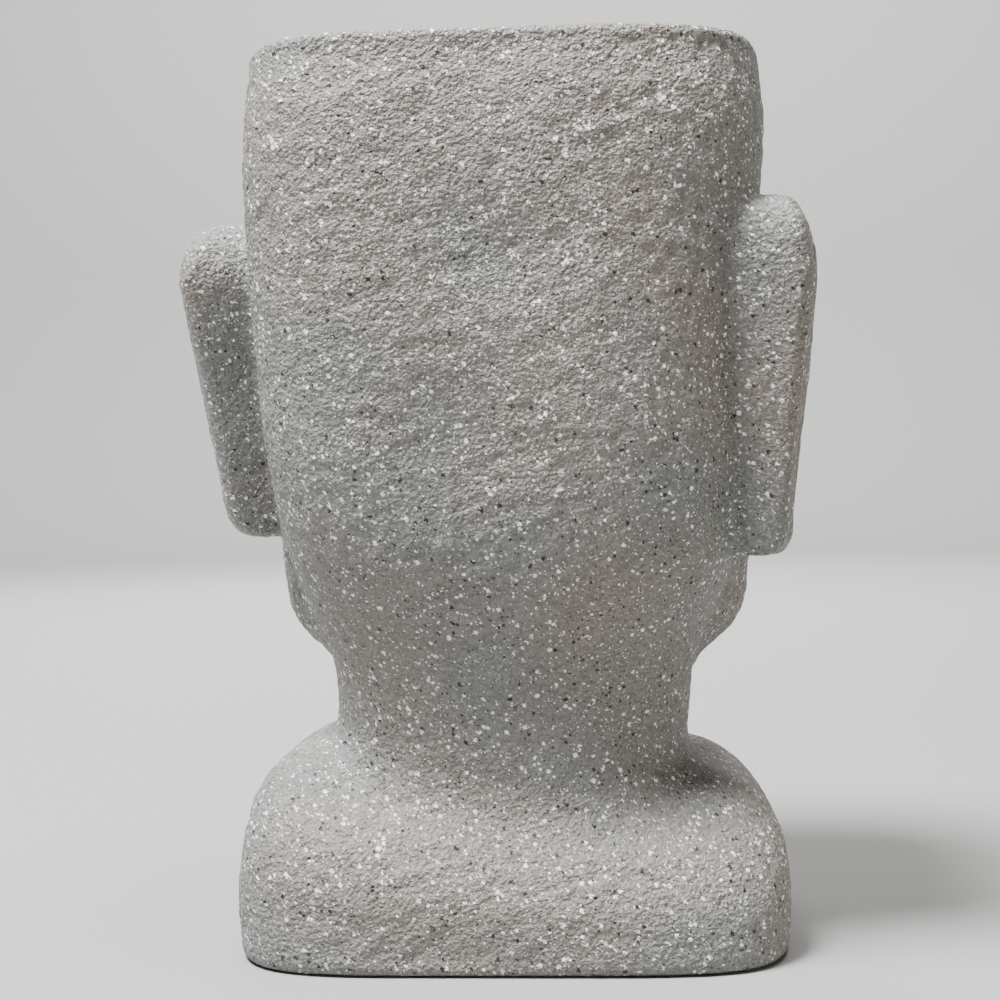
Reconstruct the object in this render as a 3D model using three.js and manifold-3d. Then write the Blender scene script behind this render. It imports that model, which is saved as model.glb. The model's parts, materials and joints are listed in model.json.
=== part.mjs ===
// A moai head planter: one hollow cast vessel in the shape of a stone head on its shoulders.
// The crown is open for the plant. Millimetres, +Z up. The face looks along -Y and the back of
// the head along +Y, so the figure's right side is -X.
import * as THREE from "three";
import { mergeVertices } from "three/addons/utils/BufferGeometryUtils.js";
import Module from "manifold-3d";

// Driving dimensions
const HEIGHT = 305;
const WALL = 9;
const RIM_OUTER_RADIUS = 4.5;
const RIM_INNER_RADIUS = 3;
const FOOT_RADIUS = 4;
const FLOOR_THICKNESS = 11;
const FOOT_RING_WIDTH = 14;
const FOOT_RECESS_DEPTH = 2;
const DRAIN_RADIUS = 8;
const DRAIN_SIDES = 28;

// The upright line that the carving rays start from.
const AXIS_Y = -6;

// The skull, nape and neck in level sections: half width, reach to the back and to the front, and
// squareness, where 2 is an oval and more is nearer to a rectangle. The right side is softer behind.
const SKULL = [
  { z: 40, half: 62, back: 50, front: 44, power: 2.4, softer: 2.4 },
  { z: 80, half: 63.2, back: 53.4, front: 45, power: 2.4, softer: 2.4 },
  { z: 93, half: 64, back: 57, front: 50, power: 2.4, softer: 2.4 },
  { z: 105, half: 67, back: 61, front: 58, power: 2.5, softer: 2.45 },
  { z: 117, half: 72.6, back: 65, front: 66, power: 2.7, softer: 2.7 },
  { z: 135, half: 79, back: 70, front: 70, power: 3.1, softer: 3.1 },
  { z: 165, half: 84, back: 74, front: 72, power: 3.7, softer: 3.05 },
  { z: 205, half: 87, back: 76, front: 74, power: 4.2, softer: 3 },
  { z: 240, half: 88.4, back: 76, front: 75, power: 4.5, softer: 3.4 },
  { z: 275, half: 89.2, back: 75, front: 73, power: 4.6, softer: 4.6 },
  { z: HEIGHT, half: 87.2, back: 73, front: 70, power: 4.6, softer: 4.6 },
];

// The jaw, wider than the nape behind it, with a rounded underside.
const JAW = { middleY: -28, depth: 48, power: 3.4, bottom: 93, top: 205, edge: 25, blend: 9 };
const JAW_HALF = [
  { z: 93, half: 82 },
  { z: 122, half: 86.5 },
  { z: 150, half: 87.5 },
  { z: 200, half: 82 },
];

// The shoulders: a rounded block that the neck sinks into, a little higher on the figure's left.
// Their top falls away behind to a tighter edge.
const SHOULDERS = { back: 68, front: 74, power: 5, top: 64.2, tilt: 0.07, edge: 22, valley: 11 };
const SHOULDERS_BEHIND = { from: 22, level: 20, fall: 0.85, edge: 13 };
const SHOULDER_HALF = [
  { z: 0, half: 93.5 },
  { z: 12, half: 95 },
  { z: 26, half: 95 },
  { z: 44, half: 92 },
  { z: 75, half: 84 },
];

// Face
const BROW = { half: 76, y: -76, z: 243, reach: 13, thick: 9, sweep: 15, droop: 5, blend: 14 };
const SOCKET = { x: 39, y: -87, z: 223, across: 27, deep: 21, tall: 14, blend: 6 };
const EYE = { x: 38, y: -61, z: 221, across: 21, deep: 10, tall: 9, blend: 3 };
const NOSE = { top: 246, bottom: 167, edge: 7, blend: 7 };
const NOSE_RIDGE = { halfTop: 7, halfTip: 12, frontTop: 84, frontTip: 104, hollow: 1.4 };
const NOSTRIL_WING = { x: 14.5, y: -84, z: 175, across: 10, deep: 14, tall: 9, blend: 4 };
const MUZZLE = { y: -66, z: 148, across: 46, deep: 16, tall: 26, blend: 14 };
const UPPER_LIP = { half: 29, y: -82, z: 153, reach: 7, thick: 4.6, sweep: 9, droop: 2.5 };
const LOWER_LIP = { half: 26, y: -81, z: 143.5, reach: 7, thick: 5, sweep: 9, droop: 0.5 };
const LIP_BLEND = 3;
const CHIN = { y: -68, z: 116, across: 42, deep: 19, tall: 17, blend: 12 };
const CHEEK_HOLLOW = { x: 50, y: -92, z: 176, across: 21, deep: 23, tall: 36, blend: 14 };

// Ears: slabs that lean back from the head and hang forward below the height level, broad and
// round above, narrower at the lobe.
const EAR = { thick: 17, edge: 4, inner: 62, root: 86, lean: 20, hang: 0.17, level: 215, curveSteps: 7 };
const EAR_RIGHT = {
  side: -1,
  back: 60,
  top: 254.6,
  bottom: 132.5,
  reachTop: 100.2,
  reachBottom: 92.5,
  crown: { across: 17, tall: 30 },
  lobe: { across: 8, tall: 10 },
  shoulder: 20,
};
const EAR_LEFT = {
  side: 1,
  back: 33,
  top: 253.9,
  bottom: 139.8,
  reachTop: 110.2,
  reachBottom: 99.8,
  crown: { across: 25, tall: 26 },
  lobe: { across: 12, tall: 17 },
  shoulder: 30,
};
const EAR_HOLLOW = { margin: 5, depth: 4, inner: 66 };

// How finely the blank is divided. Each band of levels is [from, to, steps].
const LEVEL_BANDS = [
  [0, FOOT_RADIUS, 2],
  [FOOT_RADIUS, 38, 3],
  [38, 66, 8],
  [66, 88, 5],
  [88, 106, 7],
  [106, 137, 4],
  [137, 160, 7],
  [160, 170, 3],
  [170, 200, 4],
  [200, 250, 10],
  [250, HEIGHT - RIM_OUTER_RADIUS, 4],
  [HEIGHT - RIM_OUTER_RADIUS, HEIGHT, 3],
];
// Bands of angle from the face's middle line round to the back's, in degrees.
const ANGLE_BANDS = [
  [0, 46, 14],
  [46, 66, 3],
  [66, 118, 4],
  [118, 148, 5],
  [148, 180, 2],
];
const CAVITY_ANGLE_BANDS = [
  [0, 40, 3],
  [40, 66, 3],
  [66, 118, 3],
  [118, 148, 3],
  [148, 180, 2],
];
const CAVITY_LEVEL_BANDS = [
  [FLOOR_THICKNESS, FLOOR_THICKNESS + WALL, 2],
  [FLOOR_THICKNESS + WALL, 48, 3],
  [48, 66, 3],
  [66, 88, 3],
  [88, 122, 4],
  [122, HEIGHT - RIM_INNER_RADIUS, 8],
  [HEIGHT - RIM_INNER_RADIUS, HEIGHT, 2],
  [HEIGHT, HEIGHT + 5, 1],
];
const FARTHEST_REACH = 160;

const wasm = await Module();
wasm.setup();

// A smooth curve through the stations' values, level beyond the ends.
function along(stations, key, z) {
  const last = stations.length - 1;
  if (z <= stations[0].z) return stations[0][key];
  if (z >= stations[last].z) return stations[last][key];
  const i = stations.findIndex((station) => station.z > z) - 1;
  const slope = (a, b) => (stations[b][key] - stations[a][key]) / (stations[b].z - stations[a].z);
  const here = slope(i, i + 1);
  const before = i > 0 ? (slope(i - 1, i) + here) / 2 : here;
  const after = i + 1 < last ? (slope(i + 1, i + 2) + here) / 2 : here;
  const span = stations[i + 1].z - stations[i].z;
  const t = (z - stations[i].z) / span;
  const start = stations[i][key];
  const rise = stations[i + 1][key] - start;
  const bow = span * t * (1 - t) * (before * (1 - t) - after * t);
  return start + rise * t * t * (3 - 2 * t) + bow;
}

// Joins two forms with a soft valley about as wide as blend.
function join(a, b, blend) {
  const h = Math.max(blend - Math.abs(a - b), 0) / blend;
  return Math.min(a, b) - (h * h * blend) / 4;
}

// Takes form b away from form a, with a soft edge.
const carveOut = (a, b, blend) => -join(-a, b, blend);

// Keeps what lies inside both forms, their edge rounded to a true radius.
function roundedMeet(a, b, radius) {
  const u = Math.max(a + radius, 0);
  const v = Math.max(b + radius, 0);
  return Math.min(Math.max(a, b), -radius) + Math.hypot(u, v);
}

// Distance, near the surface, from an oval section of a given squareness.
function section(x, y, half, depth, power) {
  const u = Math.abs(x) / half;
  const v = Math.abs(y) / depth;
  const size = Math.max((u ** power + v ** power) ** (1 / power), 0.2);
  const gradient = Math.hypot((u / size) ** (power - 1) / half, (v / size) ** (power - 1) / depth);
  return (size - 1) / Math.max(gradient, 1 / Math.max(half, depth));
}

function ellipsoid(x, y, z, form) {
  const u = (x - (form.x ?? 0)) / form.across;
  const v = (y - form.y) / form.deep;
  const w = (z - form.z) / form.tall;
  const size = Math.hypot(u, v, w);
  const gradient = Math.hypot(u / form.across, v / form.deep, w / form.tall);
  return gradient > 0 ? (size * (size - 1)) / gradient : -form.tall;
}

// A bar across the face that sweeps back and droops towards its ends, such as the brow or a lip.
function bar(x, y, z, form) {
  const t = Math.min(Math.abs(x) / form.half, 1.3);
  const v = (y - form.y - form.sweep * t * t) / form.reach;
  const w = (z - form.z + form.droop * t * t) / form.thick;
  const u = Math.max(Math.abs(x) - form.half + form.reach, 0) / form.reach;
  const size = Math.hypot(u, v, w);
  return (size - 1) * Math.min(form.reach, form.thick);
}

function skull(x, y, z) {
  const depth = along(SKULL, y > 0 ? "back" : "front", z);
  const power = along(SKULL, x < 0 && y > 0 ? "softer" : "power", z);
  return section(x, y, along(SKULL, "half", z), depth, power);
}

function jaw(x, y, z) {
  const sides = section(x, y - JAW.middleY, along(JAW_HALF, "half", z), JAW.depth, JAW.power);
  return roundedMeet(sides, Math.max(JAW.bottom - z, z - JAW.top), JAW.edge);
}

function shoulders(x, y, z) {
  const depth = y > 0 ? SHOULDERS.back : SHOULDERS.front;
  const sides = section(x, y, along(SHOULDER_HALF, "half", z), depth, SHOULDERS.power);
  const { from, level, fall } = SHOULDERS_BEHIND;
  const behind = Math.max(y - from, 0);
  const drop = fall * (behind < level ? behind ** 2 / (2 * level) : behind - level / 2);
  const slope = fall * Math.min(behind / level, 1);
  const top = (z - SHOULDERS.top - SHOULDERS.tilt * x + drop) / Math.hypot(1, slope);
  const tighter = THREE.MathUtils.smoothstep(y, from, SHOULDERS.back - level);
  const edge = SHOULDERS.edge + (SHOULDERS_BEHIND.edge - SHOULDERS.edge) * tighter;
  return roundedMeet(sides, top, edge);
}

function nose(x, y, z) {
  const t = (NOSE.top - z) / (NOSE.top - NOSE.bottom);
  const half = NOSE_RIDGE.halfTop + (NOSE_RIDGE.halfTip - NOSE_RIDGE.halfTop) * t;
  const rise = (NOSE_RIDGE.frontTip - NOSE_RIDGE.frontTop) * Math.max(t, 0) ** NOSE_RIDGE.hollow;
  const front = NOSE_RIDGE.frontTop + rise;
  const ridge = roundedMeet(Math.abs(x) - half, Math.max(-y - front, y), NOSE.edge);
  return roundedMeet(ridge, Math.max(NOSE.bottom - z, z - NOSE.top), NOSE.edge);
}

// The head's main mass, which the wall's thickness is measured from.
function mass(x, y, z) {
  let d = join(skull(x, y, z), jaw(x, y, z), JAW.blend);
  d = join(d, ellipsoid(x, y, z, MUZZLE), MUZZLE.blend);
  d = join(d, ellipsoid(x, y, z, CHIN), CHIN.blend);
  d = carveOut(d, ellipsoid(Math.abs(x), y, z, CHEEK_HOLLOW), CHEEK_HOLLOW.blend);
  d = join(d, bar(x, y, z, BROW), BROW.blend);
  d = carveOut(d, ellipsoid(Math.abs(x), y, z, SOCKET), SOCKET.blend);
  return join(d, shoulders(x, y, z), SHOULDERS.valley);
}

function carvedHead(x, y, z) {
  let d = mass(x, y, z);
  d = join(d, ellipsoid(Math.abs(x), y, z, EYE), EYE.blend);
  d = join(d, nose(x, y, z), NOSE.blend);
  d = join(d, ellipsoid(Math.abs(x), y, z, NOSTRIL_WING), NOSTRIL_WING.blend);
  const lips = join(bar(x, y, z, UPPER_LIP), bar(x, y, z, LOWER_LIP), 1);
  d = join(d, lips, LIP_BLEND);
  d = roundedMeet(d, z - HEIGHT, RIM_OUTER_RADIUS);
  return roundedMeet(d, -z, FOOT_RADIUS);
}

// Everything inside the wall, down to the floor, with the rim's inner edge eased outwards.
function cavity(x, y, z) {
  const up = Math.min(Math.max(z - HEIGHT + RIM_INNER_RADIUS, 0), RIM_INNER_RADIUS);
  const ease = RIM_INNER_RADIUS - Math.sqrt(RIM_INNER_RADIUS ** 2 - up ** 2);
  const inside = mass(x, y, Math.min(z, HEIGHT)) + WALL - ease;
  return roundedMeet(inside, FLOOR_THICKNESS - z, WALL);
}

// The shallow recess under the floor, which leaves a ring to stand on.
const footRecess = (x, y) => mass(x, y, 0) + FOOT_RING_WIDTH;

// The steps of a list of bands, from the first band's start to the last band's end.
function stepsOf(bands) {
  const steps = [bands[0][0]];
  for (const [from, to, count] of bands) {
    for (let i = 1; i <= count; i++) steps.push(from + ((to - from) * i) / count);
  }
  return steps;
}

// How far a level ray from the axis goes before it leaves the form for good.
function reachOf(form, angle, z) {
  const inside = (r) => form(r * Math.sin(angle), AXIS_Y - r * Math.cos(angle), z) < 1e-6;
  let near = FARTHEST_REACH;
  while (near > 0 && !inside(near)) near -= 2;
  let far = near + 2;
  for (let i = 0; i < 20; i++) {
    const middle = (near + far) / 2;
    if (inside(middle)) near = middle;
    else far = middle;
  }
  return (near + far) / 2;
}

// A solid cylinder whose skin is drawn in, ray by ray, until it lies on the form.
function carvedBlank(form, levels, angles) {
  const blank = new THREE.CylinderGeometry(1, 1, 1, angles.length, levels.length - 1);
  blank.rotateX(Math.PI / 2);
  const position = blank.attributes.position;
  const turn = (2 * Math.PI) / angles.length;
  for (let i = 0; i < position.count; i++) {
    const x = position.getX(i);
    const y = position.getY(i);
    const z = levels[Math.round((position.getZ(i) + 0.5) * (levels.length - 1))];
    if (Math.hypot(x, y) < 0.5) {
      position.setXYZ(i, 0, AXIS_Y, z);
      continue;
    }
    const step = Math.round(Math.atan2(x, -y) / turn + angles.length) % angles.length;
    const r = reachOf(form, angles[step], z);
    position.setXYZ(i, r * Math.sin(angles[step]), AXIS_Y - r * Math.cos(angles[step]), z);
  }
  return blank;
}

// The ear's outline seen from behind, drawn in by inset from its full size and starting at inner.
function earOutline(form, inset, inner) {
  const top = form.top - inset;
  const bottom = form.bottom + inset;
  const outerTop = form.reachTop - inset;
  const outerBottom = form.reachBottom - inset;
  const { crown, lobe, side } = form;
  const at = (x, z) => [side * x, z];
  const lobeCurve = [
    at(outerBottom - lobe.across * 0.4, bottom),
    at(outerBottom, bottom + lobe.tall * 0.4),
    at(outerBottom, bottom + lobe.tall),
  ];
  const crownCurve = [
    at(outerTop, top - crown.tall * 0.45),
    at(outerTop - crown.across * 0.45, top),
    at(outerTop - crown.across, top),
  ];
  const outline = new THREE.Shape();
  outline.moveTo(...at(inner, bottom));
  outline.lineTo(...at(outerBottom - lobe.across, bottom));
  outline.bezierCurveTo(...lobeCurve.flat());
  outline.lineTo(...at(outerTop, top - crown.tall));
  outline.bezierCurveTo(...crownCurve.flat());
  outline.lineTo(...at(inner, top));
  return outline;
}

// Leans an upright form back at the ear's root and lets it hang forward below.
function leanBack(geometry, form) {
  geometry.translate(-form.side * EAR.root, 0, -EAR.level);
  geometry.rotateZ(form.side * THREE.MathUtils.degToRad(EAR.lean));
  geometry.applyMatrix4(new THREE.Matrix4().makeShear(0, 0, 0, 0, 0, EAR.hang));
  return geometry.translate(form.side * EAR.root, form.back, EAR.level);
}

// A slab of the outline between two depths before the ear's back face.
function earSlab(form, outline, from, to, edge, segments) {
  const slab = new THREE.ExtrudeGeometry(outline, {
    depth: to - from - 2 * edge,
    bevelEnabled: edge > 0,
    bevelThickness: edge,
    bevelSize: edge,
    bevelSegments: segments,
    curveSegments: EAR.curveSteps,
    steps: 1,
  });
  slab.rotateX(Math.PI / 2);
  slab.translate(0, -from - edge, 0);
  return leanBack(slab, form);
}

// What the ear's back face is rounded to above: a long block with one edge taken off.
function earShoulder(form) {
  const { shoulder, side } = form;
  const far = 3 * EAR.thick;
  const profile = new THREE.Shape();
  profile.moveTo(-far, form.bottom - far);
  profile.lineTo(0, form.bottom - far);
  profile.lineTo(0, form.top - shoulder);
  profile.absarc(-shoulder, form.top - shoulder, shoulder, 0, Math.PI / 2, false);
  profile.lineTo(-far, form.top);
  const length = form.reachTop;
  const block = new THREE.ExtrudeGeometry(profile, {
    depth: length,
    bevelEnabled: false,
    curveSegments: EAR.curveSteps,
    steps: 1,
  });
  // The profile's own axes stand for depth and height, and its length for across.
  const axes = new THREE.Matrix4().set(0, 0, 1, 0, 1, 0, 0, 0, 0, 1, 0, 0, 0, 0, 0, 1);
  block.applyMatrix4(axes);
  block.translate(side > 0 ? EAR.inner - far / 2 : -EAR.inner + far / 2 - length, 0, 0);
  return leanBack(block, form);
}

function earBody(form) {
  const outline = earOutline(form, EAR.edge, EAR.inner);
  const slab = solidOf(earSlab(form, outline, 0, EAR.thick, EAR.edge, 3));
  return slab.intersect(solidOf(earShoulder(form)));
}

// The shallow hollow in the ear's front face.
function earHollow(form) {
  const { margin, depth, inner } = EAR_HOLLOW;
  const outline = earOutline(form, margin + depth, inner);
  return earSlab(form, outline, EAR.thick - depth, EAR.thick + 2 * EAR.edge, depth, 2);
}

// A closed geometry as a solid that can be joined and cut.
function solidOf(geometry) {
  const bare = geometry.clone();
  bare.deleteAttribute("normal");
  bare.deleteAttribute("uv");
  const merged = mergeVertices(bare, 1e-3);
  return new wasm.Manifold(
    new wasm.Mesh({
      numProp: 3,
      vertProperties: new Float32Array(merged.attributes.position.array),
      triVerts: new Uint32Array(merged.index.array),
    }),
  );
}

function geometryOf(solid) {
  const mesh = solid.getMesh();
  const geometry = new THREE.BufferGeometry();
  geometry.setAttribute("position", new THREE.BufferAttribute(mesh.vertProperties, 3));
  geometry.setIndex(new THREE.BufferAttribute(mesh.triVerts, 1));
  return geometry;
}

// Angles all the way round from the bands that describe one half.
function roundOf(bands) {
  const half = stepsOf(bands).map((degrees) => THREE.MathUtils.degToRad(degrees));
  return [...half, ...half.slice(1, -1).reverse().map((angle) => 2 * Math.PI - angle)];
}

function planter() {
  let solid = solidOf(carvedBlank(carvedHead, stepsOf(LEVEL_BANDS), roundOf(ANGLE_BANDS)));
  for (const form of [EAR_RIGHT, EAR_LEFT]) {
    solid = solid.add(earBody(form).subtract(solidOf(earHollow(form))));
  }
  const around = roundOf(CAVITY_ANGLE_BANDS);
  const drainLength = 4 * FLOOR_THICKNESS;
  const drain = new THREE.CylinderGeometry(
    DRAIN_RADIUS,
    DRAIN_RADIUS,
    drainLength,
    DRAIN_SIDES,
  );
  drain.rotateX(Math.PI / 2);
  drain.translate(0, AXIS_Y, 0);
  const hollow = carvedBlank(cavity, stepsOf(CAVITY_LEVEL_BANDS), around);
  const recess = carvedBlank(footRecess, [-FOOT_RECESS_DEPTH, FOOT_RECESS_DEPTH], around);
  for (const cut of [hollow, recess, drain]) solid = solid.subtract(solidOf(cut));
  return geometryOf(solid);
}

const stoneware = new THREE.MeshStandardMaterial({ color: 0x9b9893, roughness: 0.85, metalness: 0 });

const group = new THREE.Group();
const body = new THREE.Mesh(planter(), stoneware);
body.name = "moai_head_planter";
group.add(body);

// The origin lies on the ground under the middle of the whole outline.
const middle = new THREE.Box3().setFromObject(group).getCenter(new THREE.Vector3());
body.position.set(-middle.x, -middle.y, 0);

export default group;
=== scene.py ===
"""The looks of a moai head planter: a hand-finished, speckled stoneware casting.

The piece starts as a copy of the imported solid. It is remeshed evenly, drawn onto the smooth forms
that the solid was cut from, and worked over with dents and tool strokes. Lengths in the forms are
in millimetres, in the casting's own frame, whose axis stands at CASTING_SHIFT in the row's frame.
The face looks along -Y.
"""

import json
import math

import bmesh
import bpy
import numpy as np
from bpy.props import FloatProperty, FloatVectorProperty, PointerProperty
from mathutils import Matrix, Vector, noise


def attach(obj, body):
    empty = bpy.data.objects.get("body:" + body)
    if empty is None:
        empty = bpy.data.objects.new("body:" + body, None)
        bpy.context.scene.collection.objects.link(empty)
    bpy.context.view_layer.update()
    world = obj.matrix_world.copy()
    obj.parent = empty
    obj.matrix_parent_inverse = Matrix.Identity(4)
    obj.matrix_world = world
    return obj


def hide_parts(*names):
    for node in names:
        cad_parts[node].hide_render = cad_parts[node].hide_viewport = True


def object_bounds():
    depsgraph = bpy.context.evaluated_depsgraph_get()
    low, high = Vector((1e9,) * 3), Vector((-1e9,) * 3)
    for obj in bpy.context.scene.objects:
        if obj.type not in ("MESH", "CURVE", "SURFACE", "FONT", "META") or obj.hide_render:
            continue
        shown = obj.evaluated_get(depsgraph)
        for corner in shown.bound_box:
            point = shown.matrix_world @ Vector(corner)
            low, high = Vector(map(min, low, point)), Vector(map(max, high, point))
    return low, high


bl_info = {
    "name": "Moai head planter",
    "version": (1, 0, 0),
    "blender": (4, 5, 0),
    "location": "3D View > Sidebar > Planter",
    "description": "Dresses the cast planter in hand-finished, speckled stoneware",
    "category": "Add Mesh",
}

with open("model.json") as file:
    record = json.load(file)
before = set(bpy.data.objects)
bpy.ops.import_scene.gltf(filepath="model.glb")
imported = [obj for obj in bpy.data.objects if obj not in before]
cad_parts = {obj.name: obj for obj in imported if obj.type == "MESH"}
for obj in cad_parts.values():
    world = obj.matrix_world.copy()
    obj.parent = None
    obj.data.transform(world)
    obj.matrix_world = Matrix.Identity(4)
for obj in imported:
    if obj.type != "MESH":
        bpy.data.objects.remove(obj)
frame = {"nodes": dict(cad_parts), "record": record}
CAD_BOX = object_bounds()

NODE = "moai_head_planter"
SLOT = "speckled_stoneware"
MM = 0.001
# Corners nearer than this are one, in metres.
SAME_CORNER = 0.01 * MM
CASTING_SHIFT = np.array([-4.707802, 12.757240, 0.0])

# The casting's main measures.
HEIGHT = 305.0
WALL = 9.0
RIM_OUTER_RADIUS = 4.5
RIM_INNER_RADIUS = 3.0
FOOT_RADIUS = 4.0
FLOOR_THICKNESS = 11.0
FOOT_RING_WIDTH = 14.0
FOOT_RECESS_DEPTH = 2.0
FOOT_RECESS_EDGE = 1.5
DRAIN_RADIUS = 8.0
DRAIN_Y = -6.0
# Points below this height may belong to the foot's recess or to the drain.
FOOT_ZONE = 25.0
# A distance that no form comes near.
FAR = 1e9

# A section isn't measured closer to its middle than this share of its size.
SECTION_CORE = 0.2
# Level sections of the skull, nape and neck: height, half width, reach back, reach forward,
# squareness, and the softer squareness behind on the right.
SKULL = np.array(
    [
        (40, 62, 50, 44, 2.4, 2.4),
        (80, 63.2, 53.4, 45, 2.4, 2.4),
        (93, 64, 57, 50, 2.4, 2.4),
        (105, 67, 61, 58, 2.5, 2.45),
        (117, 72.6, 65, 66, 2.7, 2.7),
        (135, 79, 70, 70, 3.1, 3.1),
        (165, 84, 74, 72, 3.7, 3.05),
        (205, 87, 76, 74, 4.2, 3),
        (240, 88.4, 76, 75, 4.5, 3.4),
        (275, 89.2, 75, 73, 4.6, 4.6),
        (HEIGHT, 87.2, 73, 70, 4.6, 4.6),
    ],
    float,
)
# The jaw: its middle, reach, squareness, lowest and highest level, rounding and soft valley.
JAW = {"y": -28, "depth": 48, "power": 3.4, "bottom": 93, "top": 205, "edge": 25, "blend": 9}
JAW_HALF = np.array([(93, 82), (122, 86.5), (150, 87.5), (200, 82)], float)
# The shoulders: reach back and forward, squareness, the top's level and its rise to the left,
# rounding and soft valley.
SHOULDERS = {
    "back": 68,
    "front": 74,
    "power": 5,
    "top": 64.2,
    "tilt": 0.07,
    "edge": 22,
    "valley": 11,
}
# Behind, their tops fall away: from where, over what length, how steeply, and the rounding there.
SHOULDERS_BEHIND = {"from": 22, "level": 20, "fall": 0.85, "edge": 13}
SHOULDER_HALF = np.array([(0, 93.5), (12, 95), (26, 95), (44, 92), (75, 84)], float)

# Bars across the face. Past this share of their half length they sweep and droop no further.
BAR_END = 1.3
BROW = {"half": 76, "y": -76, "z": 243, "reach": 13, "thick": 9, "sweep": 15, "droop": 5}
UPPER_LIP = {"half": 29, "y": -82, "z": 153, "reach": 7, "thick": 4.6, "sweep": 9, "droop": 2.5}
LOWER_LIP = {"half": 26, "y": -81, "z": 143.5, "reach": 7, "thick": 5, "sweep": 9, "droop": 0.5}
# Rounded forms of the face: middle x, y, z and reach across, deep, tall.
MUZZLE = (0, -66, 148, 46, 16, 26)
CHIN = (0, -68, 116, 42, 19, 17)
CHEEK_HOLLOW = (50, -92, 176, 21, 23, 36)
SOCKET = (39, -87, 223, 27, 21, 14)
EYE = (38, -61, 221, 21, 10, 9)
NOSTRIL_WING = (14.5, -84, 175, 10, 14, 9)
NOSE = {"top": 246, "bottom": 167, "edge": 7, "half": (7, 12), "front": (84, 104), "hollow": 1.4}
# Width of the soft valley or edge where each form of the face meets the rest.
BLEND = {
    "muzzle": 14,
    "chin": 12,
    "cheek": 14,
    "brow": 14,
    "socket": 6,
    "eye": 3,
    "nose": 7,
    "wing": 4,
    "between_lips": 1,
    "lips": 3,
}

# Both ears: thickness, rounding, where they start across, the root they turn about, their lean
# in degrees, and how far back they hang for each millimetre above the level.
EAR = {"thick": 17, "edge": 4, "inner": 57, "root": 86, "lean": 20, "hang": 0.17, "level": 215}
EAR_HOLLOW = {"margin": 5, "depth": 4, "inner": 66, "blend": 1.5}
# How far the curves of an ear's lobe and crown are pulled towards their corners.
LOBE_PULL, CROWN_PULL = 0.4, 0.45
EARS = (
    {
        "side": -1,
        "back": 60,
        "top": 254.6,
        "bottom": 132.5,
        "reach_top": 100.2,
        "reach_bottom": 92.5,
        "crown": (17, 30),
        "lobe": (8, 10),
        "shoulder": 20,
    },
    {
        "side": 1,
        "back": 33,
        "top": 253.9,
        "bottom": 139.8,
        "reach_top": 110.2,
        "reach_bottom": 99.8,
        "crown": (25, 26),
        "lobe": (12, 17),
        "shoulder": 30,
    },
)
# The part of the casting that the ears can reach: least and greatest height, and y.
EAR_ZONE = {"inner": 60, "heights": (115, 275), "depths": (-20, 80)}

# Soft dips in the back of the head: middle, reach and depth.
DIPS = (
    ((0, 75, 229), (28, 40, 19), -2.6),
    ((8, 75, 171), (30, 40, 17), -1.4),
    ((10, 75, 280), (20, 40, 32), -1.2),
    ((-56, 70, 262), (24, 40, 36), -1.6),
)
# How far the skin behind draws in towards the rim, over what height, how far below the rim's
# edge it is drawn in most, and where it starts behind.
CROWN_ROLL = {"depth": 1.4, "height": 24, "edge": 3, "behind": (30, 65)}

# How far apart the seeds lie in the noise.
SEED_SPACING = 17.31
# Tool strokes: their length, width and depth in the clay, and the ridged wave across them.
STROKE_SIZE = (17, 5.5, 4)
STROKE_LEVEL, STROKE_RIDGE = 0.45, 1.6
# The seed, slope in degrees and strength of the strokes in each region of the skin.
STROKES = {
    "right": (4, 78, 1),
    "nape": (6, 50, 1),
    "low": (7, 40, 0.9),
    "rest": (3, 18, 0.7),
}
# The edges that each region fades over, on the figure's right or left and in height.
REGIONS = {
    "right": {"right_of": (38, 62), "above": (95, 130)},
    "nape": {"right_of": (0, 34), "below": (110, 150), "above": (55, 75)},
    "low": {"left_of": (5, 35), "below": (60, 90)},
}
# Strokes weaker than this share are left out.
LEAST_SHARE = 0.01
# Lumps and broad dents: size, seed and strength.
LUMPS = (4.2, 5, 0.95)
BROAD_DENTS = ((46, 1, 1), (24, 2, 0.5))
# What the strokes and the dents are lowered by, so that the hand takes clay away on the whole.
FINE_LEVEL, BROAD_LEVEL = 0.5, 0.4
# The ears and the tops of the shoulders are smoother: where they are, and the share of the fine
# work that is left on the ears and taken off the shoulders.
SMOOTH_EARS = {"out": 88, "heights": (128, 260), "left": 0.45}
SMOOTH_SHOULDERS = {"out": (62, 70), "below": 68, "taken": 0.4}
# The work fades out above the foot and, for the most part, below the rim.
FOOT_FADE = (1, 6)
RIM_FADE = {"height": 7, "taken": 0.7}


def along(stations, column, z):
    """A smooth curve through the stations' values, level beyond the ends."""
    at, value = stations[:, 0], stations[:, column]
    slope = np.diff(value) / np.diff(at)
    lean = np.concatenate([slope[:1], (slope[:-1] + slope[1:]) / 2, slope[-1:]])
    z = np.clip(z, at[0], at[-1])
    i = np.clip(np.searchsorted(at, z, "right") - 1, 0, len(at) - 2)
    span = at[i + 1] - at[i]
    t = (z - at[i]) / span
    bow = span * t * (1 - t) * (lean[i] * (1 - t) - lean[i + 1] * t)
    return value[i] + (value[i + 1] - value[i]) * t * t * (3 - 2 * t) + bow


def smooth(value, low, high):
    """0 below low and 1 above high, with a soft step between."""
    t = np.clip((value - low) / (high - low), 0, 1)
    return t * t * (3 - 2 * t)


def join(a, b, blend):
    """Joins two forms with a soft valley about as wide as blend."""
    h = np.maximum(blend - np.abs(a - b), 0) / blend
    return np.minimum(a, b) - h * h * blend / 4


def carve(a, b, blend):
    """Takes form b away from form a, with a soft edge."""
    return -join(-a, b, blend)


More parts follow.
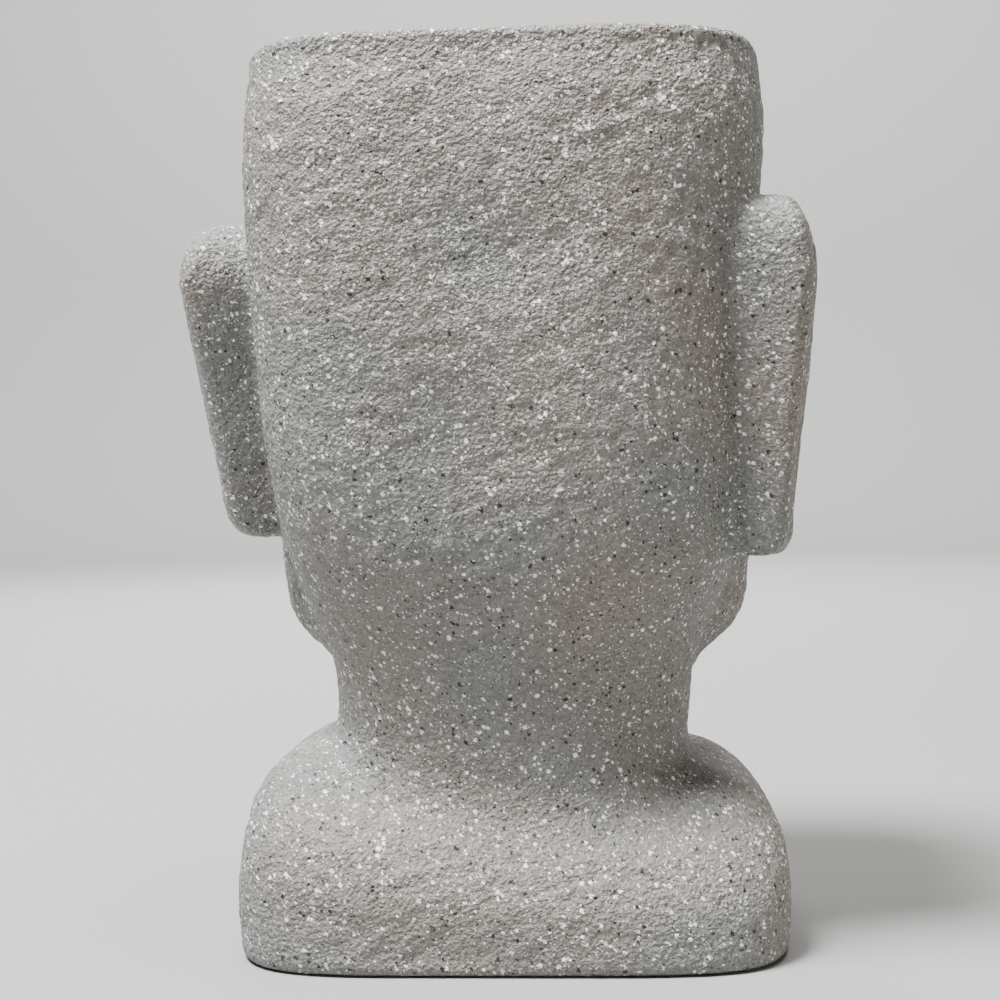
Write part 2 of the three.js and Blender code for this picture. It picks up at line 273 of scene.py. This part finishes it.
def rounded_meet(a, b, radius):
    """Keeps what lies inside both forms, their edge rounded to a true radius."""
    corner = np.hypot(np.maximum(a + radius, 0), np.maximum(b + radius, 0))
    return np.minimum(np.maximum(a, b), -radius) + corner


def section(x, y, half, depth, power):
    """Distance from a squarish oval round the axis, true at its edge."""
    u, v = np.abs(x) / half, np.abs(y) / depth
    size = np.maximum((u**power + v**power) ** (1 / power), SECTION_CORE)
    slope = np.hypot((u / size) ** (power - 1) / half, (v / size) ** (power - 1) / depth)
    return (size - 1) / np.maximum(slope, 1 / np.maximum(half, depth))


def rounded(x, y, z, form):
    """Distance from a rounded form of the face, true at its surface."""
    middle_x, middle_y, middle_z, across, deep, tall = form
    u, v, w = (x - middle_x) / across, (y - middle_y) / deep, (z - middle_z) / tall
    size = np.sqrt(u * u + v * v + w * w)
    slope = np.sqrt((u / across) ** 2 + (v / deep) ** 2 + (w / tall) ** 2)
    return size * (size - 1) / np.maximum(slope, 1e-9)


def bar(x, y, z, form):
    """A bar across the face that sweeps back and droops towards its ends."""
    t = np.minimum(np.abs(x) / form["half"], BAR_END)
    v = (y - form["y"] - form["sweep"] * t * t) / form["reach"]
    w = (z - form["z"] + form["droop"] * t * t) / form["thick"]
    u = np.maximum(np.abs(x) - form["half"] + form["reach"], 0) / form["reach"]
    return (np.sqrt(u * u + v * v + w * w) - 1) * min(form["reach"], form["thick"])


def skull(x, y, z):
    depth = np.where(y > 0, along(SKULL, 2, z), along(SKULL, 3, z))
    power = np.where((x < 0) & (y > 0), along(SKULL, 5, z), along(SKULL, 4, z))
    return section(x, y, along(SKULL, 1, z), depth, power)


def jaw(x, y, z):
    sides = section(x, y - JAW["y"], along(JAW_HALF, 1, z), JAW["depth"], JAW["power"])
    return rounded_meet(sides, np.maximum(JAW["bottom"] - z, z - JAW["top"]), JAW["edge"])


def shoulders(x, y, z):
    depth = np.where(y > 0, SHOULDERS["back"], SHOULDERS["front"])
    sides = section(x, y, along(SHOULDER_HALF, 1, z), depth, SHOULDERS["power"])
    start, level, fall, tight = SHOULDERS_BEHIND.values()
    behind = np.maximum(y - start, 0)
    drop = fall * np.where(behind < level, behind**2 / (2 * level), behind - level / 2)
    slope = fall * np.minimum(behind / level, 1)
    top = (z - SHOULDERS["top"] - SHOULDERS["tilt"] * x + drop) / np.hypot(1, slope)
    edge = SHOULDERS["edge"]
    edge = edge + (tight - edge) * smooth(y, start, SHOULDERS["back"] - level)
    return rounded_meet(sides, top, edge)


def nose(x, y, z):
    t = (NOSE["top"] - z) / (NOSE["top"] - NOSE["bottom"])
    half = NOSE["half"][0] + (NOSE["half"][1] - NOSE["half"][0]) * t
    rise = (NOSE["front"][1] - NOSE["front"][0]) * np.maximum(t, 0) ** NOSE["hollow"]
    front = NOSE["front"][0] + rise
    ridge = rounded_meet(np.abs(x) - half, np.maximum(-y - front, y), NOSE["edge"])
    return rounded_meet(ridge, np.maximum(NOSE["bottom"] - z, z - NOSE["top"]), NOSE["edge"])


def mass(x, y, z):
    """The head's main mass, which the wall's thickness is measured from."""
    d = join(skull(x, y, z), jaw(x, y, z), JAW["blend"])
    d = join(d, rounded(x, y, z, MUZZLE), BLEND["muzzle"])
    d = join(d, rounded(x, y, z, CHIN), BLEND["chin"])
    d = carve(d, rounded(np.abs(x), y, z, CHEEK_HOLLOW), BLEND["cheek"])
    d = join(d, bar(x, y, z, BROW), BLEND["brow"])
    d = carve(d, rounded(np.abs(x), y, z, SOCKET), BLEND["socket"])
    return join(d, shoulders(x, y, z), SHOULDERS["valley"])


def carved_head(x, y, z):
    d = join(mass(x, y, z), rounded(np.abs(x), y, z, EYE), BLEND["eye"])
    d = join(d, nose(x, y, z), BLEND["nose"])
    d = join(d, rounded(np.abs(x), y, z, NOSTRIL_WING), BLEND["wing"])
    lips = join(bar(x, y, z, UPPER_LIP), bar(x, y, z, LOWER_LIP), BLEND["between_lips"])
    return join(d, lips, BLEND["lips"])


def bezier(start, first, second, end, steps=24):
    t = np.linspace(0, 1, steps + 1)[:, None]
    start, first, second, end = (np.array(p, float) for p in (start, first, second, end))
    return (
        start * (1 - t) ** 3
        + first * 3 * t * (1 - t) ** 2
        + second * 3 * t * t * (1 - t)
        + end * t**3
    )


def ear_outline(form, inset, inner):
    """The ear's outline seen from behind, as points across and up, drawn in by inset."""
    top, bottom = form["top"] - inset, form["bottom"] + inset
    outer_top, outer_bottom = form["reach_top"] - inset, form["reach_bottom"] - inset
    (crown_x, crown_z), (lobe_x, lobe_z) = form["crown"], form["lobe"]
    lobe = bezier(
        (outer_bottom - lobe_x, bottom),
        (outer_bottom - lobe_x * LOBE_PULL, bottom),
        (outer_bottom, bottom + lobe_z * LOBE_PULL),
        (outer_bottom, bottom + lobe_z),
    )
    crown = bezier(
        (outer_top, top - crown_z),
        (outer_top, top - crown_z * CROWN_PULL),
        (outer_top - crown_x * CROWN_PULL, top),
        (outer_top - crown_x, top),
    )
    return np.vstack([[(inner, bottom)], lobe, crown, [(inner, top)]])


def outline_distance(points, outline):
    """Distance from a closed outline in the plane, negative inside it."""
    nearest = np.full(len(points), FAR)
    inside = np.zeros(len(points), bool)
    for a, b in zip(outline, np.roll(outline, -1, axis=0)):
        edge, to = b - a, points - a
        t = np.clip(to @ edge / (edge @ edge), 0, 1)
        away = to - t[:, None] * edge
        nearest = np.minimum(nearest, (away**2).sum(1))
        crosses = (a[1] > points[:, 1]) != (b[1] > points[:, 1])
        rise = edge[1] if abs(edge[1]) > 1e-12 else 1e-12
        inside ^= crosses & (points[:, 0] < a[0] + (points[:, 1] - a[1]) / rise * edge[0])
    return np.sqrt(nearest) * np.where(inside, -1, 1)


def ear(x, y, z, form):
    """An upright slab with rounded edges that leans back at its root, hollowed in front."""
    side, lean = form["side"], math.radians(EAR["lean"])
    out, back = side * x - EAR["root"], y - form["back"] - EAR["hang"] * (z - EAR["level"])
    across = out * math.cos(lean) + back * math.sin(lean) + EAR["root"]
    depth = back * math.cos(lean) - out * math.sin(lean)
    flat = np.stack([across, z], axis=1)
    rim = outline_distance(flat, ear_outline(form, 0, EAR["inner"]))
    face = rounded_meet(depth, z - form["top"], form["shoulder"])
    slab = rounded_meet(rim, np.maximum(face, -depth - EAR["thick"]), EAR["edge"])
    inner = outline_distance(flat, ear_outline(form, EAR_HOLLOW["margin"], EAR_HOLLOW["inner"]))
    floor = depth + EAR["thick"] - EAR_HOLLOW["depth"]
    return carve(slab, rounded_meet(inner, floor, EAR_HOLLOW["depth"]), EAR_HOLLOW["blend"])


def outside(points, fillet):
    """The whole outer skin: the carved head with its ears, the rim's edge and the foot's edge."""
    x, y, z = points.T
    d = carved_head(x, y, z)
    (low, high), (front, back) = EAR_ZONE["heights"], EAR_ZONE["depths"]
    near = (np.abs(x) > EAR_ZONE["inner"]) & (z > low) & (z < high) & (y > front) & (y < back)
    if near.any():
        part = d[near]
        for form in EARS:
            part = join(part, ear(x[near], y[near], z[near], form), fillet)
        d[near] = part
    return rounded_meet(rounded_meet(d, z - HEIGHT, RIM_OUTER_RADIUS), -z, FOOT_RADIUS)


def cavity(points):
    """The hollow inside the wall, widened to a true radius at the rim."""
    x, y, z = points.T
    up = np.clip(z - HEIGHT + RIM_INNER_RADIUS, 0, RIM_INNER_RADIUS)
    ease = RIM_INNER_RADIUS - np.sqrt(RIM_INNER_RADIUS**2 - up**2)
    inside = mass(x, y, np.minimum(z, HEIGHT)) + WALL - ease
    return rounded_meet(inside, FLOOR_THICKNESS - z, WALL)


def gradient(form, points, step=0.05):
    value = form(points)
    slopes = [(form(points + offset) - value) / step for offset in np.eye(3) * step]
    return value, np.stack(slopes, axis=1)


def settle(form, points, rounds=5, longest=1.2, flattest=0.2):
    """Moves each point straight to the form's surface. Returns the points and the way out of it."""
    points = points.copy()
    for _ in range(rounds):
        value, slope = gradient(form, points)
        length = np.maximum((slope**2).sum(1), flattest)
        points -= slope * np.clip(value / length, -longest, longest)[:, None]
    slope = gradient(form, points)[1]
    return points, slope / np.maximum(np.linalg.norm(slope, axis=1), 1e-6)[:, None]


def lumps(points, size, seed):
    """Soft noise from -1 to 1 whose lumps are about size across, in each of three directions."""
    scaled = points / np.array(size, float) + seed * SEED_SPACING
    return np.array([noise.noise(Vector(p)) for p in scaled])


def turned(points, degrees):
    """Points turned about Y, so that X runs along strokes that rise to the figure's right."""
    c, s = math.cos(math.radians(degrees)), math.sin(math.radians(degrees))
    x, y, z = points.T
    return np.stack([x * c - z * s, y, x * s + z * c], axis=1)


def dent(points, middle, reach, depth):
    """A soft rise, or with a negative depth a soft dip, round a point."""
    away = (points - np.array(middle, float)) / np.array(reach, float)
    return depth * np.exp(-(away**2).sum(1))


# The round floor's flat radius, the bend that lifts it to a wall, and the wall's top, in metres.
COVE = {"flat": 2.4, "bend": 0.6, "bend_start": 0.15, "bend_steps": 10, "top": 1.6, "turns": 96}
FLOOR_ROUGHNESS, FLOOR_SHINE = 0.9, 0.2
ROOM_LIGHT = 0.08
# Where the lamps over the planter aim at, and each lamp's place, size, power and colour.
LIT_POINT = (0, 0, 0.15)
LAMPS = {
    "key": ((0.65, 0.51, 1.96), LIT_POINT, 0.7, 172, (0.97, 0.99, 1)),
    "top_light": ((-0.4, 0.2, 2.1), LIT_POINT, 0.8, 26, (1, 1, 1)),
    "front_fill": ((0.5, -1.5, 1.0), LIT_POINT, 1.0, 14, (1, 0.96, 0.92)),
    "warm_fill": ((-1.6, 0.4, 0.5), LIT_POINT, 1.0, 3, (1, 0.75, 0.5)),
    "backdrop_wash": ((0, -1.3, 1.8), (0, -3, 0.3), 1.2, 110, (1, 1, 1)),
}
# The photo's camera: its lens in millimetres, its turn and roll in degrees, and how far it stands
# from the point that it aims at.
CAMERA = {
    "lens": 57.355,
    "sensor": 36,
    "shift": (-0.0141, -0.0361),
    "azimuth": 182.65,
    "roll": -0.87,
    "aim": (-0.004708, -0.002243, 0.165),
    "distance": 0.5925,
}

# The clay between the flecks is this much of the record's colour, which is the whole surface's.
CLAY_SHARE = 0.51


class PlanterSettings(bpy.types.PropertyGroup):
    mesh_step: FloatProperty(
        name="Mesh step",
        description="Length of the even mesh's edges",
        default=0.00174,
        min=0.001,
        max=0.006,
        unit="LENGTH",
    )
    ear_fillet: FloatProperty(
        name="Ear fillet",
        description="Width of the soft valley where the ears meet the head",
        default=0.003,
        min=0.001,
        max=0.02,
        unit="LENGTH",
    )
    dent_depth: FloatProperty(
        name="Dents",
        description="Depth of the broad hand-made unevenness",
        default=0.0009,
        min=0,
        max=0.003,
        unit="LENGTH",
    )
    stroke_depth: FloatProperty(
        name="Strokes",
        description="Depth of the tool strokes that the mesh carries",
        default=0.0006,
        min=0,
        max=0.002,
        unit="LENGTH",
    )
    inner_share: FloatProperty(
        name="Inner mesh share",
        description="Share of the even mesh that is kept inside the cavity and under the foot",
        default=0.08,
        min=0.02,
        max=1,
        subtype="FACTOR",
    )
    clay: FloatVectorProperty(
        name="Clay",
        description="Colour of the bare clay body",
        default=[CLAY_SHARE * c for c in frame["record"]["materials"][0]["base_color"]],
        size=3,
        min=0,
        max=1,
        subtype="COLOR",
    )
    light_fleck: FloatVectorProperty(
        name="Light flecks",
        description="Colour of the pale grog in the clay",
        default=(0.97, 0.96, 0.93),
        size=3,
        min=0,
        max=1,
        subtype="COLOR",
    )
    dark_fleck: FloatVectorProperty(
        name="Dark flecks",
        description="Colour of the iron specks in the clay",
        default=(0.015, 0.014, 0.013),
        size=3,
        min=0,
        max=1,
        subtype="COLOR",
    )
    floor: FloatVectorProperty(
        name="Floor",
        description="Colour of the floor and backdrop",
        default=(0.31, 0.31, 0.305),
        size=3,
        min=0,
        max=1,
        subtype="COLOR",
    )


class Value:
    """A node's output. Arithmetic on it adds Math nodes."""

    def __init__(self, tree, socket):
        self.tree, self.socket = tree, socket

    def _math(self, operation, first, second):
        node = self.tree.nodes.new("ShaderNodeMath")
        node.operation = operation
        for socket, value in zip(node.inputs, (first, second)):
            feed(self.tree, socket, value)
        return Value(self.tree, node.outputs[0])

    def __add__(self, other):
        return self._math("ADD", self, other)

    __radd__ = __add__

    def __sub__(self, other):
        return self._math("SUBTRACT", self, other)

    def __rsub__(self, other):
        return self._math("SUBTRACT", other, self)

    def __mul__(self, other):
        return self._math("MULTIPLY", self, other)

    __rmul__ = __mul__

    def __lt__(self, other):
        return self._math("LESS_THAN", self, other)

    def __gt__(self, other):
        return self._math("GREATER_THAN", self, other)


def feed(tree, socket, value):
    if isinstance(value, Value):
        tree.links.new(value.socket, socket)
    else:
        socket.default_value = value


class Finish:
    """A material and the nodes that make it."""

    def __init__(self, name):
        self.material = bpy.data.materials.new(name)
        self.material.use_nodes = True
        self.tree = self.material.node_tree
        self.tree.nodes.clear()

    def node(self, kind, settings=None, sockets=None, outputs=(0,)):
        """Adds a node: first its settings, then its sockets. Returns the outputs asked for."""
        made = self.tree.nodes.new(kind)
        for name, value in (settings or {}).items():
            setattr(made, name, value)
        for key, value in (sockets or {}).items():
            feed(self.tree, made.inputs[key], value)
        values = [Value(self.tree, made.outputs[o]) for o in outputs]
        return values[0] if len(values) == 1 else values

    def show(self, shader):
        self.node("ShaderNodeOutputMaterial", {}, {"Surface": shader}, ())

    def vector(self, operation, first, second):
        sockets = {0: first, "Scale" if operation == "SCALE" else 1: second}
        return self.node("ShaderNodeVectorMath", {"operation": operation}, sockets)

    def mix(self, factor, first, second):
        """Mixes two colours. The sockets are the colour ones of the Mix node."""
        settings = {"data_type": "RGBA", "blend_type": "MIX"}
        first, second = (c if isinstance(c, Value) else (*c, 1) for c in (first, second))
        return self.node("ShaderNodeMix", settings, {0: factor, 6: first, 7: second}, (2,))

    def step(self, value, low, high):
        """0 below low and 1 above high, with a soft step between. Low may be above high."""
        settings = {"interpolation_type": "SMOOTHSTEP"}
        sockets = {"Value": value, "From Min": low, "From Max": high}
        return self.node("ShaderNodeMapRange", settings, sockets)

    def grain(self, position, size, roughness=0.5):
        """Noise from 0 to 1 whose lumps are about size millimetres across."""
        sockets = {"Vector": position, "Scale": 1 / size, "Detail": 1.0, "Roughness": roughness}
        return self.node("ShaderNodeTexNoise", {}, sockets)

    def stretched(self, position, degrees, lengths):
        """The position turned about Y and squeezed, so that noise on it runs along strokes."""
        turn = (0, -math.radians(degrees), 0)
        turned_position = self.node(
            "ShaderNodeMapping", {"vector_type": "POINT"}, {"Vector": position, "Rotation": turn}
        )
        squeeze = tuple(1 / length for length in lengths)
        return self.vector("MULTIPLY", turned_position, squeeze)

    def flecks(self, position, cell, least, most, soft):
        """Specks of least to most millimetres radius. Returns their mask and two chances each."""
        distance, colour = self.node(
            "ShaderNodeTexVoronoi",
            {"voronoi_dimensions": "3D", "feature": "F1"},
            {"Vector": position, "Scale": 1 / cell},
            ("Distance", "Color"),
        )
        size, chance, tone = self.node("ShaderNodeSeparateColor", {}, {0: colour}, (0, 1, 2))
        grade = size * size
        radius = grade * grade * (most - least) + least
        return self.step(distance * cell - radius, soft, -soft), chance, tone


# Shares of red, green and blue that the clay's colour takes in its cool and its warm patches.
COOL_TINT, WARM_TINT = (0.97, 1.0, 0.99), (1.08, 0.965, 0.91)
TINT_PATCH, TINT_EDGES = 60, (0.35, 0.65)
# The clay's darkest and lightest shades, where one turns into the other, and the grit's share. Part
# of this is random mottling from the grit; the rest is painted shade in the pits of the bump relief
# and painted light on its raised lumps.
DARK_MOTTLE_AND_PIT_SHADE, LIGHT_MOTTLE_AND_LUMP_LIGHT = 0.72, 1.25
MOTTLE_AND_SHADE_EDGES, GRIT_SHARE = (0.3, 0.7), 0.4
# Sizes of the grit, of the pits and of the brush marks, the pits' harshness and the marks' slope.
GRIT, PIT, PIT_HARSHNESS = 0.7, 1.35, 0.6
BRUSH, BRUSH_SLOPE = (2.9, 2.3, 2.0), 24
# How far the grit moves a fleck's edge, which makes it ragged.
RAGGED_REACH = (1.9, -1.5, 1.7)
# Flecks: cell, least and greatest radius and soft edge in millimetres; then the share that is
# white, the least brightness of those, and the chance above which they are black.
FLECKS = (
    {"size": (0.95, 0.12, 0.42, 0.06), "white": 0.45, "dullest": 0.5, "black": 0.76},
    {"size": (1.5, 0.16, 0.84, 0.05), "white": 0.5, "dullest": 0.8, "black": 0.76},
)
# Height in millimetres of the pits and of the brush marks, which are finer than the mesh.
PIT_HEIGHT, BRUSH_HEIGHT = 0.95, 0.62
# The clay's roughness, what the grit adds to it, and its shine.
ROUGHNESS, GRIT_ROUGHNESS, SHINE = 0.5, 0.25, 0.5


def stoneware(settings):
    """Matte grey clay with pale grog and iron specks, pitted and brushed by the maker's tools."""
    finish = Finish(SLOT)
    place = finish.node("ShaderNodeTexCoord", {}, {}, ("Object",))
    mm = finish.vector("SCALE", place, 1 / MM)
    grit = finish.grain(mm, GRIT)
    ragged = finish.vector("ADD", mm, finish.vector("SCALE", RAGGED_REACH, grit))
    pitted = finish.grain(mm, PIT, PIT_HARSHNESS)
    brushed = finish.grain(finish.stretched(mm, BRUSH_SLOPE, BRUSH), 1)

    cool = tuple(c * k for c, k in zip(settings.clay, COOL_TINT))
    warm = tuple(c * k for c, k in zip(settings.clay, WARM_TINT))
    tone = finish.mix(finish.step(finish.grain(mm, TINT_PATCH), *TINT_EDGES), cool, warm)
    # Painted shade and light: the clay is darker in the pits of the bump relief and lighter on its
    # raised lumps, mixed with random grit mottling.
    mottle_and_pit_shade = finish.step(grit * GRIT_SHARE + pitted * (1 - GRIT_SHARE), *MOTTLE_AND_SHADE_EDGES)
    clay_dark_mottle_and_pit_shade = finish.vector("SCALE", tone, DARK_MOTTLE_AND_PIT_SHADE)
    clay_light_mottle_and_lump_light = finish.vector("SCALE", tone, LIGHT_MOTTLE_AND_LUMP_LIGHT)
    colour = finish.mix(mottle_and_pit_shade, clay_dark_mottle_and_pit_shade, clay_light_mottle_and_lump_light)

    light, dark = tuple(settings.light_fleck), tuple(settings.dark_fleck)
    for kinds in FLECKS:
        fleck, kind, bright = finish.flecks(ragged, *kinds["size"])
        dullest = kinds["dullest"]
        white = fleck * (kind < kinds["white"]) * (bright * (1 - dullest) + dullest)
        colour = finish.mix(white, colour, light)
        colour = finish.mix(fleck * (kind > kinds["black"]), colour, dark)

    height = pitted * PIT_HEIGHT + brushed * BRUSH_HEIGHT
    normal = finish.node(
        "ShaderNodeBump", {}, {"Strength": 1.0, "Distance": MM, "Height": height}
    )
    shader = finish.node(
        "ShaderNodeBsdfPrincipled",
        {},
        {
            "Base Color": colour,
            "Roughness": ROUGHNESS + grit * GRIT_ROUGHNESS,
            "Specular IOR Level": SHINE,
            "Normal": normal,
        },
    )
    finish.show(shader)
    return finish.material


def plain(name, colour, roughness, shine):
    finish = Finish(name)
    sockets = {"Base Color": (*colour, 1), "Roughness": roughness, "Specular IOR Level": shine}
    shader = finish.node("ShaderNodeBsdfPrincipled", {}, sockets)
    finish.show(shader)
    return finish.material


def add_object(name, mesh):
    piece = bpy.data.objects.new(name, mesh)
    bpy.context.scene.collection.objects.link(piece)
    return piece


def baked(piece):
    """Applies the piece's modifiers to its mesh."""
    bpy.context.view_layer.update()
    graph = bpy.context.evaluated_depsgraph_get()
    mesh = bpy.data.meshes.new_from_object(piece.evaluated_get(graph))
    piece.modifiers.clear()
    old, piece.data = piece.data, mesh
    bpy.data.meshes.remove(old)


def even_copy(name, node, step):
    """A copy of the CAD node as one closed, even mesh."""
    mesh = bpy.data.meshes.new(name)
    form = bmesh.new()
    form.from_mesh(frame["nodes"][node].data)
    bmesh.ops.remove_doubles(form, verts=form.verts, dist=SAME_CORNER)
    form.to_mesh(mesh)
    form.free()
    piece = add_object(name, mesh)
    remesh = piece.modifiers.new("Even mesh", "REMESH")
    remesh.mode = "VOXEL"
    remesh.voxel_size = step
    baked(piece)
    return piece


def read_points(mesh):
    """The mesh's points in millimetres, in the casting's own frame."""
    flat = np.zeros(len(mesh.vertices) * 3)
    mesh.vertices.foreach_get("co", flat)
    return flat.reshape(-1, 3) / MM - CASTING_SHIFT


def write_points(mesh, points):
    """Puts the points back in the mesh, none of them outside the CAD's box."""
    low, high = (np.array(corner) for corner in CAD_BOX)
    inside = np.clip((points + CASTING_SHIFT) * MM, low, high)
    mesh.vertices.foreach_set("co", inside.ravel())
    mesh.update()


def region_share(x, z, edges):
    """How much of each point belongs to a region of strokes, which fades over its edges."""
    fades = {
        "right_of": lambda low, high: smooth(-x, low, high),
        "left_of": lambda low, high: smooth(x, low, high),
        "below": lambda low, high: 1 - smooth(z, low, high),
        "above": lambda low, high: smooth(z, low, high),
    }
    share = np.ones(len(x))
    for edge, (low, high) in edges.items():
        share = share * fades[edge](low, high)
    return share


def hand_work(points, settings):
    """How far the maker's hand moved the outer skin, in millimetres, mostly inwards."""
    x, y, z = points.T
    fine = np.zeros(len(points))
    rest = np.ones(len(points))
    for region, (seed, degrees, strength) in STROKES.items():
        share = np.minimum(region_share(x, z, REGIONS.get(region, {})), rest)
        used = share > LEAST_SHARE
        wave = lumps(turned(points[used], degrees), STROKE_SIZE, seed)
        fine[used] += strength * share[used] * (STROKE_LEVEL - STROKE_RIDGE * np.abs(wave))
        rest = rest - share
    size, seed, strength = LUMPS
    fine += strength * lumps(points, (size,) * 3, seed)
    low, high = SMOOTH_EARS["heights"]
    ears = (np.abs(x) > SMOOTH_EARS["out"]) & (z > low) & (z < high)
    tops = smooth(np.abs(x), *SMOOTH_SHOULDERS["out"]) * (z < SMOOTH_SHOULDERS["below"])
    fine *= np.where(ears, SMOOTH_EARS["left"], 1) * (1 - SMOOTH_SHOULDERS["taken"] * tops)
    broad = sum(strength * lumps(points, (size,) * 3, seed) for size, seed, strength in BROAD_DENTS)
    depth = settings.dent_depth / MM * (broad - BROAD_LEVEL)
    depth += settings.stroke_depth / MM * (fine - FINE_LEVEL)
    for middle, reach, deep in DIPS:
        depth += dent(points, middle, reach, deep)
    rim = smooth(z, HEIGHT - RIM_FADE["height"], HEIGHT)
    keep = smooth(z, *FOOT_FADE) * (1 - RIM_FADE["taken"] * rim)
    start, end = HEIGHT - CROWN_ROLL["height"], HEIGHT - CROWN_ROLL["edge"]
    roll = smooth(z, start, end) * (1 - smooth(z, end, HEIGHT))
    return depth * keep - CROWN_ROLL["depth"] * roll * smooth(y, *CROWN_ROLL["behind"])


class PLANTER_OT_casting(bpy.types.Operator):
    """Makes the stoneware casting over the CAD solid"""

    bl_idname = "planter.casting"
    bl_label = "Stoneware casting"

    def execute(self, context):
        settings = context.scene.planter
        step = settings.mesh_step * 1
        piece = even_copy("stoneware_casting", NODE, step)
        points = read_points(piece.data)

        def skin(p):
            return outside(p, settings.ear_fillet / MM)

        def recess(p):
            x, y, z = p.T
            foot = mass(x, y, np.zeros(len(x))) + FOOT_RING_WIDTH
            return rounded_meet(foot, z - FOOT_RECESS_DEPTH, FOOT_RECESS_EDGE)

        def drain(p):
            return np.hypot(p[:, 0], p[:, 1] - DRAIN_Y) - DRAIN_RADIUS

        forms = (skin, cavity, recess, drain)
        distances = np.stack([np.abs(form(points)) for form in forms])
        distances[2:, points[:, 2] >= FOOT_ZONE] = FAR
        nearest = distances.argmin(0)
        for which, form in enumerate(forms):
            chosen = nearest == which
            placed, out = settle(form, points[chosen])
            if form is skin:
                placed += out * hand_work(placed, settings)[:, None]
            points[chosen] = placed
        write_points(piece.data, points)

        hidden = nearest != 0
        group = piece.vertex_groups.new(name="hidden")
        group.add([int(i) for i in np.flatnonzero(hidden)], 1, "REPLACE")
        fewer = piece.modifiers.new("Fewer faces inside", "DECIMATE")
        fewer.vertex_group = group.name
        fewer.ratio = 1 - hidden.mean() * (1 - settings.inner_share)
        baked(piece)
        for face in piece.data.polygons:
            face.use_smooth = True
        piece.data.materials.clear()
        piece.data.materials.append(stoneware(settings))
        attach(piece, "root")
        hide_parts(NODE)
        return {"FINISHED"}


class PLANTER_OT_stage(bpy.types.Operator):
    """Makes the floor, the lights and the camera"""

    bl_idname = "planter.stage"
    bl_label = "Stage"

    def execute(self, context):
        settings = context.scene.planter
        mesh = bpy.data.meshes.new("cove")
        form = bmesh.new()
        flat, bend = COVE["flat"], COVE["bend"]
        profile = [(0, 0, 0), (flat, 0, 0)]
        profile += [
            (flat + bend * math.sin(a), 0, bend - bend * math.cos(a))
            for a in np.linspace(COVE["bend_start"], math.pi / 2, COVE["bend_steps"])
        ]
        profile.append((flat + bend, 0, COVE["top"]))
        corners = [form.verts.new(p) for p in profile]
        edges = [form.edges.new(pair) for pair in zip(corners, corners[1:])]
        bmesh.ops.spin(
            form,
            geom=corners + edges,
            cent=(0, 0, 0),
            axis=(0, 0, 1),
            angle=2 * math.pi,
            steps=COVE["turns"],
            use_merge=True,
        )
        bmesh.ops.remove_doubles(form, verts=form.verts, dist=SAME_CORNER)
        bmesh.ops.recalc_face_normals(form, faces=form.faces)
        form.to_mesh(mesh)
        form.free()
        for face in mesh.polygons:
            face.use_smooth = True
        cove = add_object("cove", mesh)
        floor = plain("pale_floor", settings.floor, FLOOR_ROUGHNESS, FLOOR_SHINE)
        mesh.materials.append(floor)

        world = bpy.data.worlds.new("soft_room")
        world.use_nodes = True
        background = world.node_tree.nodes["Background"]
        background.inputs["Color"].default_value = (1, 1, 1, 1)
        background.inputs["Strength"].default_value = ROOM_LIGHT
        context.scene.world = world

        for name, (place, aim, size, power, colour) in LAMPS.items():
            lamp = bpy.data.lights.new(name, "AREA")
            lamp.shape = "DISK"
            lamp.size, lamp.energy, lamp.color = size, power, colour
            light = bpy.data.objects.new(name, lamp)
            context.scene.collection.objects.link(light)
            light.location = place
            light.rotation_mode = "QUATERNION"
            light.rotation_quaternion = (Vector(aim) - Vector(place)).to_track_quat("-Z", "Y")

        lens = bpy.data.cameras.new("camera")
        lens.sensor_width = CAMERA["sensor"]
        lens.lens = CAMERA["lens"]
        lens.shift_x, lens.shift_y = CAMERA["shift"]
        camera = bpy.data.objects.new("camera", lens)
        context.scene.collection.objects.link(camera)
        azimuth, roll = math.radians(CAMERA["azimuth"]), math.radians(CAMERA["roll"])
        back = Vector((math.sin(azimuth), -math.cos(azimuth), 0))
        right, up = Vector((-back.y, back.x, 0)), Vector((0, 0, 1))
        turned_right = right * math.cos(roll) + up * math.sin(roll)
        turned_up = up * math.cos(roll) - right * math.sin(roll)
        at = Vector(CAMERA["aim"]) + back * CAMERA["distance"]
        rows = zip(zip(turned_right, turned_up, back), at)
        camera.matrix_world = Matrix([(*row, place) for row, place in rows] + [(0, 0, 0, 1)])
        context.scene.camera = camera
        return {"FINISHED"}


class PLANTER_PT_panel(bpy.types.Panel):
    bl_label = "Moai head planter"
    bl_idname = "PLANTER_PT_panel"
    bl_space_type = "VIEW_3D"
    bl_region_type = "UI"
    bl_category = "Planter"

    def draw(self, context):
        settings = context.scene.planter
        for name in PlanterSettings.__annotations__:
            self.layout.prop(settings, name)
        for operator in (PLANTER_OT_casting, PLANTER_OT_stage):
            self.layout.operator(operator.bl_idname)


CLASSES = (PlanterSettings, PLANTER_OT_casting, PLANTER_OT_stage, PLANTER_PT_panel)


def register():
    for cls in CLASSES:
        bpy.utils.register_class(cls)
    bpy.types.Scene.planter = PointerProperty(type=PlanterSettings)


def unregister():
    del bpy.types.Scene.planter
    for cls in reversed(CLASSES):
        bpy.utils.unregister_class(cls)


def main():
    register()
    bpy.ops.planter.casting()
    bpy.ops.planter.stage()


if __name__ == "__main__":
    main()
